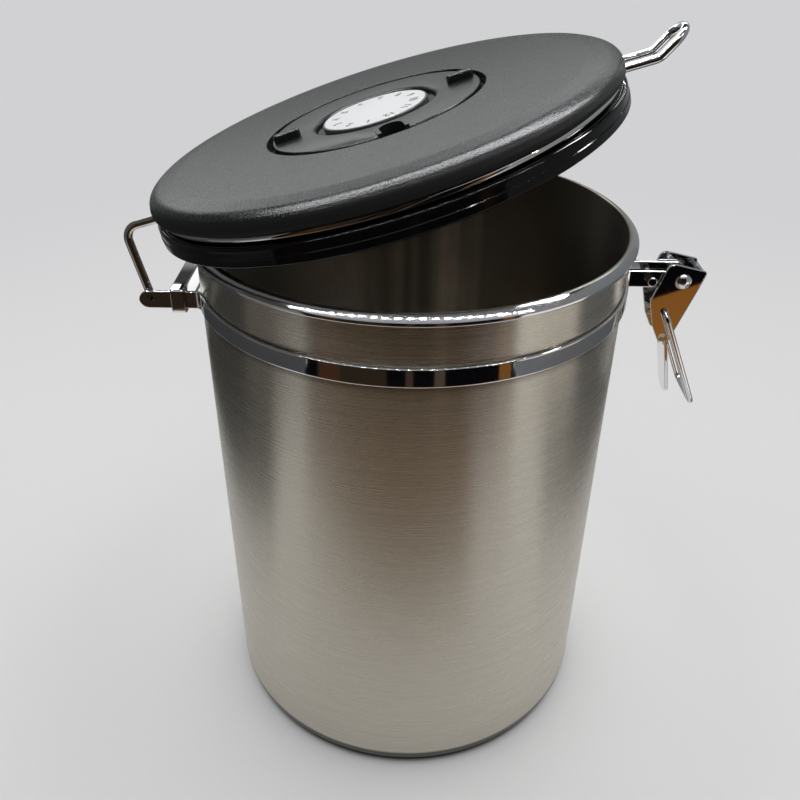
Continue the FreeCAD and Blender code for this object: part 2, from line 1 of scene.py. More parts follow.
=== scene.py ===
# %% [markdown]
# # A steel coffee canister with a hinged lid
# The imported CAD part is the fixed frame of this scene. Each cell below dresses one piece of it: the
# brushed body, the bright strap and latch, the wire that holds the lid, and the lid with its date dials.
# Sizes are written in millimetres, as in a workshop drawing, and turned to metres when a mesh is made.

import json
import math

import bmesh
import bpy
from mathutils import Matrix, Vector

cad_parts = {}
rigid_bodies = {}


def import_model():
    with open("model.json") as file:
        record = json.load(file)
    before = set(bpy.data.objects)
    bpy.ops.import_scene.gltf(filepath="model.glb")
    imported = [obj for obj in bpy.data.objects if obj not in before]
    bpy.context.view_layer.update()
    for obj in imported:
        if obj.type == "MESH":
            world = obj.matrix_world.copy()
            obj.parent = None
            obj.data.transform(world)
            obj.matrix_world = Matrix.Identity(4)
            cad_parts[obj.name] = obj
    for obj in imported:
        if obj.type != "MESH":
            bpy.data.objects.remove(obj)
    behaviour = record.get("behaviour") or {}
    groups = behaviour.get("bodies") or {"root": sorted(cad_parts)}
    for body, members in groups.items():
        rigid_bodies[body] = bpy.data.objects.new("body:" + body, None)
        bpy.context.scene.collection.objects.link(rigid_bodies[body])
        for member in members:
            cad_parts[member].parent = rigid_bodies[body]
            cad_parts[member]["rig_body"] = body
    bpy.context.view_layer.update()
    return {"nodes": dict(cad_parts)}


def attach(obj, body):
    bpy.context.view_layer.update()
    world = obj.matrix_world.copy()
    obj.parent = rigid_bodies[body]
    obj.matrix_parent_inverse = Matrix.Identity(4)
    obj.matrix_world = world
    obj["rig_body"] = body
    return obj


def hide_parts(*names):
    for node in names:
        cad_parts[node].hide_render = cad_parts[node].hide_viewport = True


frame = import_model()
nodes = frame["nodes"]
MM = 0.001

# %% [markdown]
# ## Camera
# The camera stands in front of the canister and looks down into it from a little above the lid.
# Its place and turn were worked out from the ellipses of the rim, strap and base, so the render lines
# up with the photograph. Three turns are multiplied, because the picture is also rolled by half a degree.


# %% Place the camera
def add_object(name, data):
    """A new object at the origin of the scene."""
    obj = bpy.data.objects.new(name, data)
    bpy.context.scene.collection.objects.link(obj)
    return obj


eye = Vector((0.0, -226.859, 247.437)) * MM
pitch, yaw, roll = (math.radians(a) for a in (32.6589, -0.7709, 0.5239))
focal_pixels, picture_pixels, sensor_mm = 846.706, 800.0, 36.0
turn = (Matrix.Rotation(-yaw, 4, "Z") @ Matrix.Rotation(math.pi / 2 - pitch, 4, "X")
        @ Matrix.Rotation(roll, 4, "Z"))

camera = add_object("camera", bpy.data.cameras.new("camera"))
camera.data.sensor_width = sensor_mm
camera.data.lens = sensor_mm * focal_pixels / picture_pixels
camera.data.clip_start = 0.01
camera.matrix_world = Matrix.Translation(eye) @ turn
bpy.context.scene.camera = camera
bpy.context.scene.view_settings.view_transform = "Standard"
print("lens", round(camera.data.lens, 2), "mm")

# %% [markdown]
# ## Writing nodes as sums
# Materials and Geometry Nodes trees are both node trees. A small class wraps a socket, so that a sum
# such as `1 - mask` adds its own Math node, and one method makes every other kind of node.


# %% A socket that can be used in sums
class Field:
    """One output socket, with the operators that the finishes and trees below use."""

    def __init__(self, writer, socket):
        self.writer = writer
        self.socket = socket

    def maths(self, operation, left, right=0.0):
        return self.writer.node("ShaderNodeMath", {"operation": operation}, {0: left, 1: right})

    def __add__(self, other):
        return self.maths("ADD", self, other)

    def __sub__(self, other):
        return self.maths("SUBTRACT", self, other)

    def __rsub__(self, other):
        return self.maths("SUBTRACT", other, self)

    def __mul__(self, other):
        return self.maths("MULTIPLY", self, other)

    def __truediv__(self, other):
        return self.maths("DIVIDE", self, other)

    __radd__ = __add__
    __rmul__ = __mul__

    def at_least(self, other):
        return self.maths("MAXIMUM", self, other)

    def size(self):
        return self.maths("ABSOLUTE", self)

    def other(self, name):
        """Another output of the same node."""
        return Field(self.writer, self.socket.node.outputs[name])


class NodeWriter:
    """Adds nodes to one tree."""

    def __init__(self, tree):
        self.tree = tree

    def node(self, kind, settings=None, sockets=None, take=0):
        made = self.tree.nodes.new(kind)
        for name, value in (settings or {}).items():
            setattr(made, name, value)
        for key, value in (sockets or {}).items():
            if isinstance(value, Field):
                self.tree.links.new(value.socket, made.inputs[key])
            else:
                made.inputs[key].default_value = value
        return Field(self, made.outputs[take]) if len(made.outputs) else None


# %% [markdown]
# ## Finishes
# Every finish starts from Object coordinates, which here are the frame's own metres, so a grain has its
# real size on each piece. A few helpers make the noise, the ramps and the mixed colours they share.


# %% Helpers that the finishes share
def start_finish(name):
    """A new material, and the Object coordinates in its tree."""
    material = bpy.data.materials.new(name)
    material.use_nodes = True
    material.node_tree.nodes.clear()
    return material, NodeWriter(material.node_tree).node("ShaderNodeTexCoord", take="Object")


def noise(place, stretch, detail=2.0):
    """Noise between 0 and 1, squeezed by stretch along each axis."""
    node = place.writer.node
    squeezed = node("ShaderNodeVectorMath", {"operation": "MULTIPLY"}, {0: place, 1: stretch})
    return node("ShaderNodeTexNoise", {"noise_dimensions": "3D"},
                {"Vector": squeezed, "Scale": 1.0, "Detail": detail, "Roughness": 0.55})


def ramp(value, low, high, start=0.0, end=1.0, soft=False):
    """A value carried from low..high to start..end, and held beyond both."""
    style = {"interpolation_type": "SMOOTHSTEP"} if soft else None
    return value.writer.node("ShaderNodeMapRange", style, {0: value, 1: low, 2: high, 3: start, 4: end})


def measure(operation, *vectors):
    """One number from one or two vectors: a length or a dot product."""
    node, sockets = vectors[0].writer.node, dict(enumerate(vectors))
    return node("ShaderNodeVectorMath", {"operation": operation}, sockets, take="Value")


def blend(share, first, second):
    """Colour between two, by a share from 0 to 1."""
    ends = [end if isinstance(end, Field) else (*end, 1.0) for end in (first, second)]
    sockets = {0: share, 6: ends[0], 7: ends[1]}
    return share.writer.node("ShaderNodeMix", {"data_type": "RGBA"}, sockets, take=2)


def bump(height, depth_mm, strength):
    sockets = {"Height": height, "Distance": depth_mm * MM, "Strength": strength}
    return height.writer.node("ShaderNodeBump", None, sockets)


def end_finish(material, sockets):
    writer = NodeWriter(material.node_tree)
    shader = writer.node("ShaderNodeBsdfPrincipled", None, sockets)
    writer.node("ShaderNodeOutputMaterial", None, {"Surface": shader})
    print("finish", material.name, len(writer.tree.nodes), "nodes")
    return material


# %% [markdown]
# ## Brushed steel
# The outside of the body is brushed round and round, so its noise is squeezed hard along the height. The
# inside is bright, with soft upright streaks and painted light that makes it lighter towards -X, and the
# rolled rim is smooth. One material does all three, because the distance from the axis and from the rounding
# of the foot tells them apart. Painted shade darkens the rounding of the foot and the steel just below the
# strap.

# %% Brushed steel of the body
body_radius, foot_round = 60.0, 6.5


def brushed_steel():
    material, place = start_finish("brushed_steel")
    writer = place.writer
    fine = noise(place, (30.0, 30.0, 5200.0), detail=3.0)
    broad = noise(place, (14.0, 14.0, 900.0))
    cloud = noise(place, (9.0, 9.0, 9.0), detail=3.0)
    flat = writer.node("ShaderNodeVectorMath", {"operation": "MULTIPLY"}, {0: place, 1: (1.0, 1.0, 0.0)})
    radius = measure("LENGTH", flat)
    across = writer.node("ShaderNodeSeparateXYZ", None, {0: place})
    height = across.other("Z")
    out = (radius - (body_radius - foot_round) * MM).at_least(0.0)
    down = (foot_round * MM - height).at_least(0.0)
    bend = writer.node("ShaderNodeCombineXYZ", None, {0: out, 1: down})
    outside = ramp(measure("LENGTH", bend), 5.9 * MM, 6.4 * MM)
    roll = ramp(radius, body_radius * MM, 60.2 * MM)
    lines = (fine * 0.65 + broad * 0.35 - 0.5) * (outside * 0.9 + 0.1) + 0.5
    steel = blend(lines * 0.8 + cloud * 0.2, (0.44, 0.41, 0.35), (0.67, 0.625, 0.54))
    streak = noise(flat, (75.0, 75.0, 1.0))
    # Painted light: X is taken off the streak noise, so the inside is lighter towards -X.
    streaks_and_painted_light = ramp(streak - across * 7.0, 0.38, 0.66)
    drawn = blend(streaks_and_painted_light, (0.30, 0.275, 0.24), (0.95, 0.88, 0.77))
    foot_shade = ramp(height, 6.0 * MM, 7.1 * MM, 0.88, 0.0)
    steel = blend(foot_shade, steel, (0.045, 0.045, 0.035))
    from_below = ramp(height, 141.6 * MM, 143.4 * MM, 0.0, 0.5)
    to_above = ramp(height, 149.2 * MM, 150.0 * MM, 1.0, 0.0)
    strap_shade = from_below * to_above
    steel = blend(strap_shade, steel, (0.11, 0.085, 0.06))
    steel = blend(roll, steel, (0.60, 0.60, 0.61))
    return end_finish(material, {
        "Base Color": blend(outside, drawn, steel),
        "Metallic": 1.0,
        "Roughness": (0.22 + lines * 0.10) * (1 - roll) + roll * 0.11,
        "Anisotropic": 0.9,
        "Anisotropic Rotation": 0.25,
        "Normal": bump(lines * (outside - roll), 0.05, 0.35),
    })


steel_brushed = brushed_steel()

# %% [markdown]
# ## Bright steel
# The strap, the wire and the latch are polished. Their colour is even, so only faint handling marks change
# the gloss, and a very shallow bump keeps the reflections from looking drawn with a ruler.


# %% Bright steel of strap, wire and latch
def bright_steel():
    material, place = start_finish("bright_steel")
    handling = noise(place, (60.0, 60.0, 60.0), detail=4.0)
    drawn = noise(place, (900.0, 900.0, 900.0), detail=1.0)
    colour = blend(handling, (0.70, 0.70, 0.71), (0.80, 0.80, 0.80))
    return end_finish(material, {
        "Base Color": colour,
        "Metallic": 1.0,
        "Roughness": 0.03 + handling * 0.05,
        "Normal": bump(drawn, 0.01, 0.02),
    })


steel_bright = bright_steel()

# %% [markdown]
# ## Plastics
# The lid is moulded: matt and grained on top, polished at its base and on the dial. One function makes each
# kind, and the small pieces inside the lid use them too.


# %% Plastics of the lid and its dials
def grained_plastic(name, dark, light, grain_per_metre, grain_mm, roughness):
    """Matt moulded plastic with a fine grain."""
    material, place = start_finish(name)
    grain = noise(place, (grain_per_metre,) * 3)
    patch = noise(place, (25.0,) * 3, detail=3.0)
    return end_finish(material, {
        "Base Color": blend(grain * 0.6 + patch * 0.4, dark, light),
        "Roughness": roughness + grain * 0.14 - 0.07,
        "Specular IOR Level": 0.2,
        "Normal": bump(grain, grain_mm, 0.8),
    })


def gloss_plastic(name, dark, light, roughness):
    """Polished plastic, with faint handling marks in its gloss."""
    material, place = start_finish(name)
    marks = noise(place, (45.0,) * 3, detail=5.0)
    return end_finish(material, {
        "Base Color": blend(marks, dark, light),
        "Roughness": roughness + marks * 0.08,
        "Specular IOR Level": 0.25,
    })


base_black = gloss_plastic("base_black", (0.0015, 0.0014, 0.0016), (0.003, 0.0028, 0.0032), 0.06)
dial_white = gloss_plastic("dial_white", (0.70, 0.70, 0.71), (0.76, 0.76, 0.77), 0.34)
knob_grey = gloss_plastic("knob_grey", (0.045, 0.047, 0.048), (0.065, 0.067, 0.068), 0.30)
print_grey = grained_plastic("print_grey", (0.10, 0.10, 0.11), (0.16, 0.16, 0.17), 3000.0, 0.004, 0.55)
silicone = grained_plastic("silicone", (0.62, 0.62, 0.60), (0.70, 0.70, 0.68), 1500.0, 0.01, 0.55)
felt = grained_plastic("felt", (0.66, 0.64, 0.58), (0.82, 0.80, 0.75), 1900.0, 0.12, 0.9)

# %% [markdown]
# ## Paths with rounded corners
# Bent wire, folded sheet and turned profiles are all lines with rounded corners. One helper takes the
# sharp corners with their bend radii and gives the points of the rounded line.


# %% Round the corners of a line
def rounded(corners, closed=False, steps=8):
    """Points of a line through (point, radius) corners, each corner rounded by its radius."""
    count = len(corners)
    points = []
    for index, (corner, radius) in enumerate(corners):
        is_end = not closed and index in (0, count - 1)
        if radius == 0 or is_end:
            points.append(corner.copy())
            continue
        back = (corners[index - 1][0] - corner).normalized()
        on = (corners[(index + 1) % count][0] - corner).normalized()
        half = back.angle(on) / 2
        middle = (back + on).normalized()
        centre = corner + middle * (radius / math.sin(half))
        start = corner + back * (radius / math.tan(half)) - centre
        axis = start.cross(corner + on * (radius / math.tan(half)) - centre).normalized()
        sweep = math.pi - 2 * half
        for step in range(steps + 1):
            points.append(centre + Matrix.Rotation(sweep * step / steps, 3, axis) @ start)
    return points


def arc(centre_x, centre_y, z, radius, start, end, steps):
    """Points of a flat arc about a vertical axis, between two angles in degrees."""
    angles = [math.radians(start + (end - start) * step / steps) for step in range(steps + 1)]
    return [Vector((centre_x + radius * math.cos(a), centre_y + radius * math.sin(a), z)) for a in angles]


def ring_run(radius, bend, hinge_y, latch_y, z):
    """Front half of a ring with a bend out to the hinge line and one to the latch line."""
    hinge_cy, latch_cy = hinge_y - bend, latch_y - bend
    hinge_cx = -math.sqrt((radius + bend) ** 2 - hinge_cy ** 2)
    latch_cx = math.sqrt((radius + bend) ** 2 - latch_cy ** 2)
    hinge_turn = math.degrees(math.atan2(-hinge_cy, -hinge_cx))
    latch_turn = math.degrees(math.atan2(-latch_cy, latch_cx))
    points = arc(hinge_cx, hinge_cy, z, bend, 90, hinge_turn, 8)
    points += arc(0, 0, z, radius, 180 + hinge_turn, 360 - latch_turn, 96)[1:]
    points += arc(latch_cx, latch_cy, z, bend, 180 - latch_turn, 90, 8)[1:]
    return points


def keep(obj, node_name, body):
    """Hand a finished piece to the frame: it rides on a body and stands for its CAD node."""
    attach(obj, body)
    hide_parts(node_name)
    print(obj.name, "on", body, len(obj.data.vertices), "points")
    return obj


# %% [markdown]
# ## The lid's own frame
# The lid is drawn closed and level, which keeps its numbers simple, and is then turned open about the
# hinge by the angle it rests at. The turn is put into each mesh, so the objects stay at the origin.

# %% Turn of the resting lid
hinge_x, strap_z, lid_top = -70.6, 146.75, 172.9
lid_opening = math.radians(16.6)
hinge_point = Vector((hinge_x, 0.0, strap_z)) * MM
lid_turn = (Matrix.Translation(hinge_point) @ Matrix.Rotation(-lid_opening, 4, "Y")
            @ Matrix.Translation(-hinge_point))
print("lid centre at rest", [round(v, 4) for v in lid_turn @ Vector((0, 0, lid_top * MM))])

# %% [markdown]
# ## Turned pieces
# The body, the cover and the base of the lid are all round, so one Geometry Nodes tree turns a profile
# about the vertical axis, as a lathe does. A grid gets one row for each profile point and one column for
# each step of the turn, and Set Position rolls it up. Spin in bmesh would do too, but the tree has its
# number of steps as an input and closes the seam by itself.


# %% How a tree starts and ends
def start_tree(name, inputs):
    """An empty tree with named inputs, and the finished piece as its output."""
    tree = bpy.data.node_groups.new(name, "GeometryNodeTree")
    for label, kind in inputs.items():
        tree.interface.new_socket(label, in_out="INPUT", socket_type="NodeSocket" + kind)
    tree.interface.new_socket("Piece", in_out="OUTPUT", socket_type="NodeSocketGeometry")
    return tree, NodeWriter(tree)


def end_tree(writer, shape, finish):
    """The last nodes of a tree: smooth shading, real geometry and the finish."""
    smooth = writer.node("GeometryNodeSetShadeSmooth", None, {0: shape})
    real = writer.node("GeometryNodeRealizeInstances", None, {0: smooth})
    done = writer.node("GeometryNodeSetMaterial", None, {"Geometry": real, "Material": finish})
    writer.node("NodeGroupOutput", None, {0: done})
    print("tree", writer.tree.name, len(writer.tree.nodes), "nodes")


# %% The lathe tree
def lathe_tree():
    tree, writer = start_tree("turned_piece", {"Profile": "Geometry", "Steps": "Int", "Finish": "Material"})
    profile = writer.node("NodeGroupInput", take="Profile")
    steps = profile.other("Steps")
    rows = writer.node("GeometryNodeAttributeDomainSize", {"component": "MESH"}, {0: profile})
    columns = steps + 1
    grid = writer.node("GeometryNodeMeshGrid", None, {"Vertices X": rows, "Vertices Y": columns})
    index = writer.node("GeometryNodeInputIndex")
    row = index.maths("FLOOR", (index + 0.5) / columns)
    angle = (index - row * columns) / steps * math.tau
    position = writer.node("GeometryNodeInputPosition")
    sample = writer.node("GeometryNodeSampleIndex", {"data_type": "FLOAT_VECTOR", "domain": "POINT"},
                         {"Geometry": profile, "Value": position, "Index": row})
    radius = writer.node("ShaderNodeSeparateXYZ", None, {0: sample})
    x, y = radius * angle.maths("COSINE", angle), radius * angle.maths("SINE", angle)
    place = writer.node("ShaderNodeCombineXYZ", None, {0: x, 1: y, 2: radius.other("Z")})
    moved = writer.node("GeometryNodeSetPosition", None, {"Geometry": grid, "Position": place})
    closed = writer.node("GeometryNodeMergeByDistance", None, {"Geometry": moved, "Distance": 2e-7})
    end_tree(writer, closed, profile.other("Finish"))
    return tree


turned_piece = lathe_tree()


# %% Run a tree on a piece
def run_tree(name, data, tree, inputs):
    """Evaluate a Geometry Nodes tree on a mesh or curve, and return the result as a plain mesh object."""
    source = add_object(name + "_source", data)
    modifier = source.modifiers.new("tree", "NODES")
    modifier.node_group = tree
    sockets = {item.name: item.identifier for item in tree.interface.items_tree if item.in_out == "INPUT"}
    for label, value in inputs.items():
        modifier[sockets[label]] = value
    seen = source.evaluated_get(bpy.context.evaluated_depsgraph_get())
    mesh = bpy.data.meshes.new_from_object(seen)
    source.modifiers.remove(modifier)
    bpy.data.objects.remove(source)
    return add_object(name, mesh)


def mend(mesh, merge=0.0, outwards=True):
    """Merge points that are closer than a distance, and turn the faces outwards."""
    shape = bmesh.new()
    shape.from_mesh(mesh)
    if merge > 0:
        bmesh.ops.remove_doubles(shape, verts=shape.verts, dist=merge)
    if outwards:
        bmesh.ops.recalc_face_normals(shape, faces=shape.faces)
    shape.to_mesh(mesh)
    shape.free()


def profile_points(corners, closed):
    """Profile of (radius, height, rounding) corners, with close points beside each corner."""
    line = rounded([(Vector((r, 0.0, z)), bend) for r, z, bend in corners], closed)
    if closed:
        line.append(line[0].copy())
    points = [line[0]]
    margin = 0.25
    for before, after in zip(line, line[1:]):
        step = (after - before).length
        if step > 4 * margin:
            points.append(before.lerp(after, margin / step))
            points.append(after.lerp(before, margin / step))
        points.append(after)
    return points


def turned(name, corners, finish, closed=True, steps=256, place=Matrix()):
    """A turned piece from its half section in millimetres."""
    mesh = bpy.data.meshes.new(name + "_profile")
    mesh.from_pydata([p * MM for p in profile_points(corners, closed)], [], [])
    piece = run_tree(name, mesh, turned_piece, {"Steps": steps, "Finish": finish})
    piece.data.transform(place)
    mend(piece.data)
    return piece


# %% [markdown]
# ## The body
# A drawn steel cup: a thin wall, a floor with a wide rounding below, and an edge rolled outwards at the
# rim. The half section runs from the middle of the underside, out and up, over the rim and down inside.

# %% Turn the body
body_section = [
    (0.0, 0.0, 0.0), (body_radius, 0.0, foot_round), (body_radius, 160.4, 0.3), (62.0, 160.4, 0.45),
    (62.0, 161.45, 0.5), (61.23, 162.37, 5.0), (60.17, 162.95, 0.5), (59.2, 163.0, 0.35),
    (59.2, 0.8, 5.7), (0.0, 0.8, 0.0),
]
body = turned("canister_shell", body_section, steel_brushed, closed=False, steps=320)
keep(body, "canister_body", "canister")

# %% [markdown]
# ## Folded sheet
# The strap, the keeper and the lever's back are strips of sheet folded on edge. A ribbon follows a
# rounded line: at each point of the line stands a small rounded rectangle, as wide as the strip is there.


# %% A ribbon of sheet along a flat line
def shade(mesh, degrees):
    """Smooth shading, with edges past an angle kept crisp."""
    for face in mesh.polygons:
        face.use_smooth = True
    mesh.set_sharp_from_angle(angle=math.radians(degrees))


sheet_thickness = 1.0
quarters = ((1, 1), (-1, 1), (-1, -1), (1, -1))


def ribbon_section(soften):
    """Corners of the strip's rounded rectangle: distance out, inset from the edge, and side."""
    half, corner_steps, edge_lap, face_lap = sheet_thickness / 2, 3, 0.12, 0.08
    section = []
    for across, along in quarters:
        corner = [(half, 1 + edge_lap / soften)]
        for step in range(corner_steps + 1):
            angle = math.radians(90 * step / corner_steps)
            corner.append((half - soften + soften * math.cos(angle), 1 - math.sin(angle)))
        corner.append((half - soften - face_lap, 0.0))
        if across * along < 0:
            corner.reverse()
        section += [(across * out, inset, along) for out, inset in corner]
    return section


def ribbon(name, line, axes, half_width, closed=False, soften=0.22, place=Matrix()):
    """Strip of bright sheet. line is in the plane of axes[0] and axes[1]; the strip is wide along axes[2].
    half_width is a list with one value for each point of the line."""
    flat = [Vector((p.x, p.y, 0.0)) for p in line]
    count = len(flat)
    section = ribbon_section(soften)
    shape = bmesh.new()
    rings = []
    for index, point in enumerate(flat):
        before = flat[index - 1] if closed or index > 0 else point
        after = flat[(index + 1) % count] if closed or index + 1 < count else point
        step_in, step_out = point - before, after - point
        if step_in.length == 0:
            step_in = step_out
        if step_out.length == 0:
            step_out = step_in
        tangent = (step_in.normalized() + step_out.normalized()).normalized()
        normal = Vector((-tangent.y, tangent.x, 0.0))
        miter = 1.0 / max(0.5, normal.dot(Vector((-step_in.y, step_in.x, 0.0)).normalized()))
        ring = []
        for out, inset, side in section:
            edge = side * max(half_width[index] - soften * inset, 0.2 * half_width[index])
            spot = point + normal * (out * miter)
            ring.append(shape.verts.new((axes[0] * spot.x + axes[1] * spot.y + axes[2] * edge) * MM))
        rings.append(ring)
    if closed:
        rings.append(rings[0])
    else:
        shape.faces.new(rings[0])
        shape.faces.new(rings[-1])
    for first, second in zip(rings, rings[1:]):
        for k in range(len(section)):
            shape.faces.new((first[k - 1], first[k], second[k], second[k - 1]))
    bmesh.ops.recalc_face_normals(shape, faces=shape.faces)
    mesh = bpy.data.meshes.new(name)
    shape.to_mesh(mesh)
    shape.free()
    shade(mesh, 40)
    mesh.transform(place)
    mesh.materials.append(steel_bright)
    return add_object(name, mesh)


def end_steps(radius):
    """Distances from a round end and the half widths there."""
    angles = [math.radians(a) for a in (8, 16, 26, 38, 52, 70, 90)]
    return [(radius * (1 - math.cos(a)), radius * math.sin(a)) for a in angles]


# %% [markdown]
# ## The strap
# Two halves clamp the neck. Each runs round half the body, turns out into a short ear at the hinge and
# into another at the latch, and ends round. The line is the middle of the sheet, seen from above.

# %% Bend the strap halves
strap_radius, strap_bend, strap_half = 60.55, 2.0, 2.5
hinge_ear_y, latch_ear_y = -21.5, -3.5
latch_x = 77.0
hinge_end_x, latch_end_x = hinge_x - strap_half, latch_x + strap_half


def strap_half_piece(name, side):
    run = ring_run(strap_radius, strap_bend, hinge_ear_y, latch_ear_y, 0.0)
    ends = end_steps(strap_half)
    line = [Vector((hinge_end_x + distance, hinge_ear_y, 0)) for distance, _ in ends] + run
    line += [Vector((latch_end_x - distance, latch_ear_y, 0)) for distance, _ in reversed(ends)]
    end_widths = [width for _, width in ends]
    widths = end_widths + [strap_half] * len(run) + end_widths[::-1]
    axes = (Vector((1, 0, 0)), Vector((0, side, 0)), Vector((0, 0, 1)))
    lift = Matrix.Translation((0, 0, strap_z * MM))
    return ribbon(name, line, axes, widths, soften=0.3, place=lift)


keep(strap_half_piece("strap_front_band", 1), "strap_front", "canister")
keep(strap_half_piece("strap_rear_band", -1), "strap_rear", "canister")

# %% [markdown]
# ## The hinge keeper
# A flat loop of sheet is folded round both hinge ears and holds them at their distance.

# %% Fold the keeper
keeper_half_y, keeper_half_z, keeper_x, keeper_half_width = 22.6, 3.1, -62.45, 1.85
keeper_corners = [(Vector((y * keeper_half_y, z * keeper_half_z, 0.0)), 0.8) for y, z in quarters]
keeper_line = rounded(keeper_corners, closed=True, steps=6)
keeper_axes = (Vector((0, 1, 0)), Vector((0, 0, 1)), Vector((1, 0, 0)))
keeper_place = Matrix.Translation((keeper_x * MM, 0, strap_z * MM))
keeper = ribbon("hinge_keeper_loop", keeper_line, keeper_axes, [keeper_half_width] * len(keeper_line),
                closed=True, place=keeper_place)
keep(keeper, "hinge_keeper", "canister")

# %% [markdown]
# ## Pins of the latch
# A plain pin ties the two latch ears, and a rivet with domed heads carries the lever. Both are turned
# pieces that lie across the object, so they are turned upright and laid down along Y.

# %% Turn the pin and the rivet
lay_down = Matrix.Rotation(math.radians(90), 4, "X")
pin_half, pin_radius, pin_x = 6.2, 1.35, 68.2
pin_section = [(0, -pin_half, 0), (pin_radius, -pin_half, 0.3),
               (pin_radius, pin_half, 0.3), (0, pin_half, 0)]
pin_place = Matrix.Translation((pin_x * MM, 0, strap_z * MM)) @ lay_down
keep(turned("latch_pin", pin_section, steel_bright, closed=False, steps=48, place=pin_place),
     "latch_cross_pin", "canister")

dome_base, dome_radius, dome_height, dome_steps, shank_radius = 5.35, 2.3, 1.2, 8, 1.5
dome_ball = (dome_radius ** 2 + dome_height ** 2) / (2 * dome_height)
dome_half_angle = math.asin(dome_radius / dome_ball)
dome = []
for step in range(dome_steps + 1):
    tilt = dome_half_angle * step / dome_steps
    drop = dome_ball * (1 - math.cos(tilt))
    dome.append((dome_ball * math.sin(tilt), dome_base + dome_height - drop, 0))
upper = dome + [(shank_radius, dome_base, 0)]
rivet_section = upper + [(r, -z, 0) for r, z, _ in reversed(upper)]
latch_place = Matrix.Translation((latch_x * MM, 0, strap_z * MM))
keep(turned("latch_rivet", rivet_section, steel_bright, closed=False, steps=64, place=latch_place @ lay_down),
     "latch_pivot_rivet", "canister")

# %% [markdown]
# ## Bent wire
# The lid hangs in one long bent wire and the latch ends in a smaller wire loop. A second Geometry Nodes
# tree sweeps a circle along a path, with the wire's radius and the number of sides as its inputs.


# %% The wire tree
def wire_tree():
    inputs = {"Path": "Geometry", "Radius": "Float", "Sides": "Int", "Finish": "Material"}
    tree, writer = start_tree("bent_wire", inputs)
    path = writer.node("NodeGroupInput", take="Path")
    circle = writer.node("GeometryNodeCurvePrimitiveCircle", {"mode": "RADIUS"},
                         {"Resolution": path.other("Sides"), "Radius": path.other("Radius")})
    swept = writer.node("GeometryNodeCurveToMesh", None,
                        {"Curve": path, "Profile Curve": circle, "Fill Caps": True})
    end_tree(writer, swept, path.other("Finish"))
    return tree


bent_wire = wire_tree()


def add_line(curve, points, closed=False):
    """Straight runs through points in millimetres."""
    spline = curve.splines.new("POLY")
    spline.points.add(len(points) - 1)
    for spot, point in zip(spline.points, points):
        spot.co = (*(point * MM), 1.0)
    spline.use_cyclic_u = closed


def wire(name, points, radius, place=Matrix()):
    """A bent wire of bright steel."""
    curve = bpy.data.curves.new(name + "_path", "CURVE")
    curve.dimensions = "3D"
    add_line(curve, points)
    piece = run_tree(name, curve, bent_wire, {"Radius": radius * MM, "Sides": 24, "Finish": steel_bright})
    piece.data.transform(place)
    mend(piece.data)
    piece.data.set_sharp_from_angle(angle=math.radians(50))
    return piece


# %% [markdown]
# ## The lid's wire
# From one hinge ear it goes up, over the edge of the lid, half way round in the groove, out to a narrow
# hook at the front, and back the same way on the other side.

# %% Bend the lid's wire
bail_radius, bail_z, bail_ring = 1.15, 166.3, 60.9
leg_y, stub_y, leg_lean, hook_y = -19.3, -22.9, 1.45, -4.2
stub_bend, ring_bend, wire_bend, tip_steps = 1.38, 3.0, 4.0, 16
hook_corner_x, hook_rise, hook_length = 72.0, math.radians(32.5), 4.6
ring_points = ring_run(bail_ring, ring_bend, leg_y, hook_y, bail_z)
leg = rounded([
    (Vector((hinge_x, stub_y, strap_z)), 0),
    (Vector((hinge_x, leg_y, strap_z)), stub_bend),
    (Vector((hinge_x + leg_lean, leg_y, bail_z)), wire_bend),
    (ring_points[0], 0),
])
rise = Vector((math.cos(hook_rise), 0.0, math.sin(hook_rise)))
hook_corner = Vector((hook_corner_x, hook_y, bail_z))
hook_end = hook_corner + rise * hook_length
hook = rounded([(ring_points[-1], 0), (hook_corner, wire_bend), (hook_end, 0)])
tip = []
for step in range(1, tip_steps):
    swing = math.pi * step / tip_steps
    tip.append(hook_end + Vector((0, -hook_y, 0)) + Vector((0, hook_y, 0)) * math.cos(swing)
               + rise * (-hook_y) * math.sin(swing))
front_side = leg[:-1] + ring_points + hook[1:]
bail_path = front_side + tip + [Vector((p.x, -p.y, p.z)) for p in reversed(front_side)]
keep(wire("lid_wire", bail_path, bail_radius, lid_turn), "bail_wire", "lid")

# %% [markdown]
# ## The latch lever
# Two cheeks of sheet sit outside the ears and a back joins them and runs on as the thumb tab. The cheeks
# are flat curves, because a curve gives the holes and the softened edge at once; the back is a ribbon.


# %% A flat cheek of sheet with holes
def baked(drawn):
    """Plain mesh of a drawn curve or text, whose own object is removed."""
    mesh = bpy.data.meshes.new_from_object(drawn.evaluated_get(bpy.context.evaluated_depsgraph_get()))
    bpy.data.objects.remove(drawn)
    return mesh


def cheek(name, outline, holes, soften, place):
    """Sheet cut to an outline, with round holes, made from a flat curve."""
    curve = bpy.data.curves.new(name + "_outline", "CURVE")
    curve.dimensions = "2D"
    curve.fill_mode = "BOTH"
    add_line(curve, outline, closed=True)
    for x, y, radius in holes:
        add_line(curve, arc(x, y, 0, radius, 0, 360, 28)[:-1], closed=True)
    curve.extrude = (sheet_thickness / 2 - soften) * MM
    curve.bevel_depth = soften * MM
    curve.bevel_resolution = 2
    curve.offset = -soften * MM
    mesh = baked(add_object(name + "_drawn", curve))
    mesh.transform(place)
    mend(mesh, merge=1e-7)
    shade(mesh, 14)
    return mesh


def joined(name, meshes, finish):
    """One object from several meshes."""
    shape = bmesh.new()
    for part in meshes:
        shape.from_mesh(part)
    mesh = bpy.data.meshes.new(name)
    shape.to_mesh(mesh)
    shape.free()
    mesh.materials.append(finish)
    return add_object(name, mesh)


